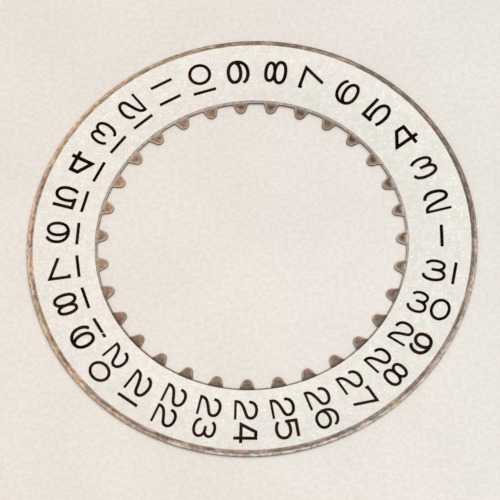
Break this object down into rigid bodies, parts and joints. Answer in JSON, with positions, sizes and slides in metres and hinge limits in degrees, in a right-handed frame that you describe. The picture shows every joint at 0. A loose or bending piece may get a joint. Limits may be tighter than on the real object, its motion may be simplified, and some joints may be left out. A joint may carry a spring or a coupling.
{
  "type": "watch date ring",
  "caption": "Thin flat ring with printed dates that read outwards, a bare bevelled rim, and small rounded teeth round its inner edge.",
  "frame": {"origin": "on the ring's axis, in the plane of its underside", "axes": "+Z along the ring's axis, out of the printed face; +X through the date 1 and its tooth; the dates count up from +X towards +Y"},
  "size_m": [0.024, 0.024, 0.0002],
  "materials": {
    "brass": "turned and lightly tarnished",
    "silver_lacquer": "silver-white lacquer with a fine sparkle",
    "ink": "printed black ink"
  },
  "bodies": {
    "root": {"ring_blank": "brass", "silver_face": "silver_lacquer", "date_1": "ink", "date_2": "ink", "date_3": "ink", "date_4": "ink", "date_5": "ink", "date_6": "ink", "date_7": "ink", "date_8": "ink", "date_9": "ink", "date_10_tens": "ink", "date_10_units": "ink", "date_11_tens": "ink", "date_11_units": "ink", "date_12_tens": "ink", "date_12_units": "ink", "date_13_tens": "ink", "date_13_units": "ink", "date_14_tens": "ink", "date_14_units": "ink", "date_15_tens": "ink", "date_15_units": "ink", "date_16_tens": "ink", "date_16_units": "ink", "date_17_tens": "ink", "date_17_units": "ink", "date_18_tens": "ink", "date_18_units": "ink", "date_19_tens": "ink", "date_19_units": "ink", "date_20_tens": "ink", "date_20_units": "ink", "date_21_tens": "ink", "date_21_units": "ink", "date_22_tens": "ink", "date_22_units": "ink", "date_23_tens": "ink", "date_23_units": "ink", "date_24_tens": "ink", "date_24_units": "ink", "date_25_tens": "ink", "date_25_units": "ink", "date_26_tens": "ink", "date_26_units": "ink", "date_27_tens": "ink", "date_27_units": "ink", "date_28_tens": "ink", "date_28_units": "ink", "date_29_tens": "ink", "date_29_units": "ink", "date_30_tens": "ink", "date_30_units": "ink", "date_31_tens": "ink", "date_31_units": "ink"}
  },
  "joints": []
}
